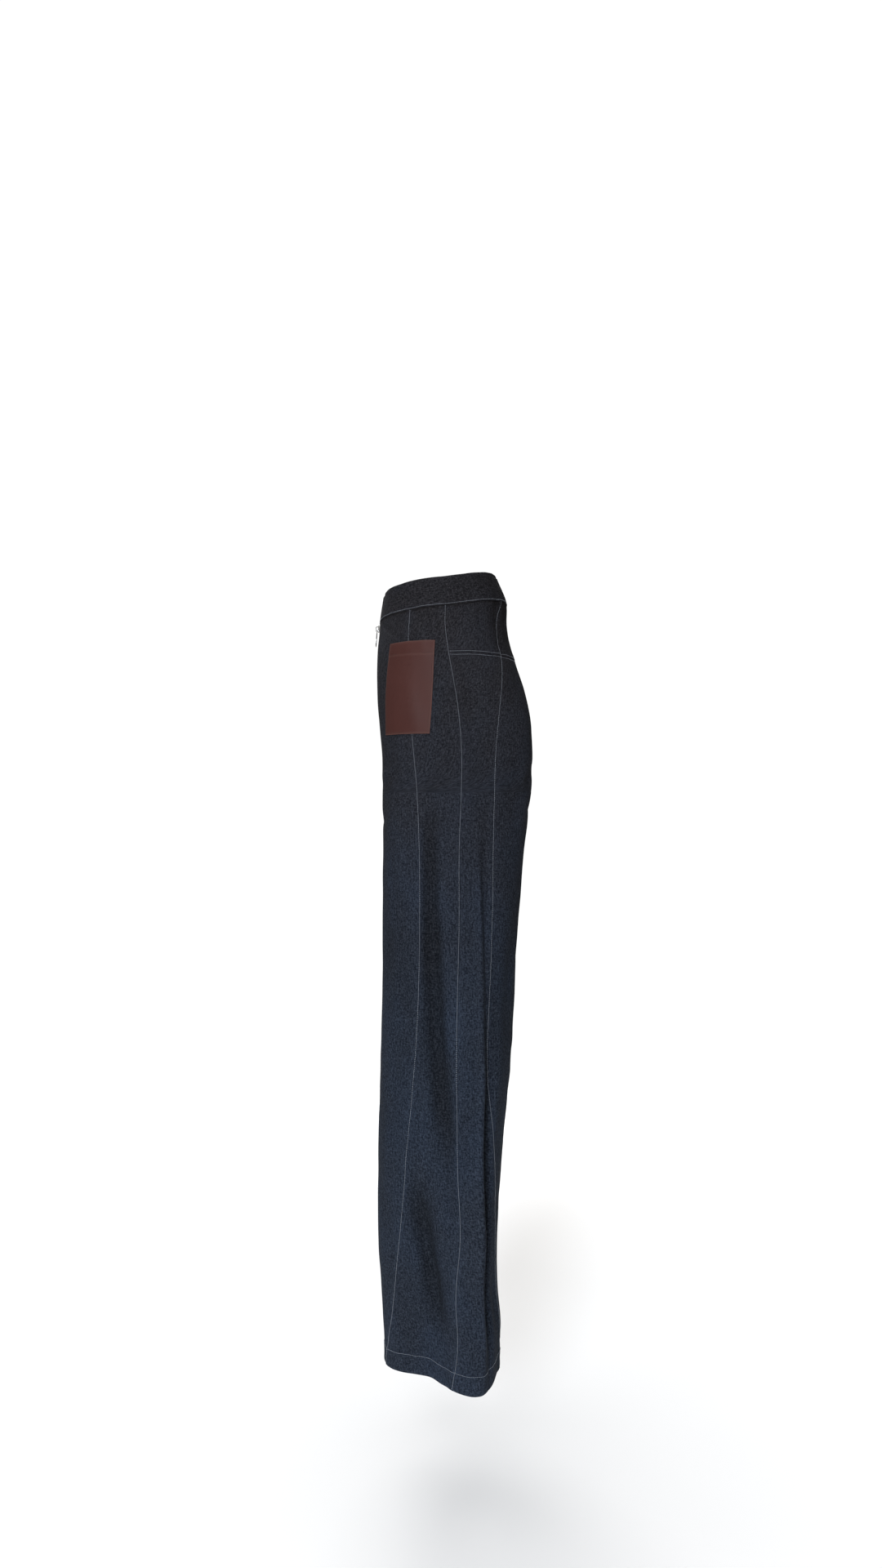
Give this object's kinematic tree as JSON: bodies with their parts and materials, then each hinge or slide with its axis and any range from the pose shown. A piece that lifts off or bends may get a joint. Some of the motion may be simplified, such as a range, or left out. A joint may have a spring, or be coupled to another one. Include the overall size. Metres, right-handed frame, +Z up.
{
  "type": "barrel-leg jeans",
  "caption": "High-waisted barrel-leg denim jeans in the pose of wear, hollow, with leather patch pockets, back yokes and a zip at the centre front.",
  "frame": {"origin": "centre of the waistband's ring at half its height, where the wearer's waist holds it", "axes": "+X to the wearer's left, +Y to the back, +Z up"},
  "size_m": [0.4593, 0.2226, 1.0965],
  "materials": {
    "denim": "dark indigo twill with a faint slubby cast",
    "waistband_denim": "darker indigo twill, folded and stitched",
    "leather": "plain smooth brown leather",
    "zip_tape": "black woven tape",
    "zip_metal": "polished nickel"
  },
  "bodies": {
    "garment": {"waistband": "waistband_denim", "front_centre_hip_left": "denim", "front_centre_thigh_left": "denim", "front_centre_shin_left": "denim", "front_side_left": "denim", "yoke_side_left": "denim", "yoke_centre_left": "denim", "back_side_left": "denim", "back_centre_hip_left": "denim", "back_centre_thigh_left": "denim", "back_centre_shin_left": "denim", "front_centre_hip_right": "denim", "front_centre_thigh_right": "denim", "front_centre_shin_right": "denim", "front_side_right": "denim", "yoke_side_right": "denim", "yoke_centre_right": "denim", "back_side_right": "denim", "back_centre_hip_right": "denim", "back_centre_thigh_right": "denim", "back_centre_shin_right": "denim", "pocket_left": "leather", "pocket_right": "leather", "zip_tape_left": "zip_tape", "zip_tape_right": "zip_tape", "zip_chain": "zip_metal", "zip_stop": "zip_metal", "zip_slider": "zip_metal"},
    "pull": {"zip_pull": "zip_metal"}
  },
  "joints": [
    {"name": "pull_flip", "type": "hinge", "parent": "garment", "child": "pull", "pos_m": [0, -0.09348, -0.03501], "axis": [-1, 0, 0], "range_deg": [0, 185]}
  ]
}
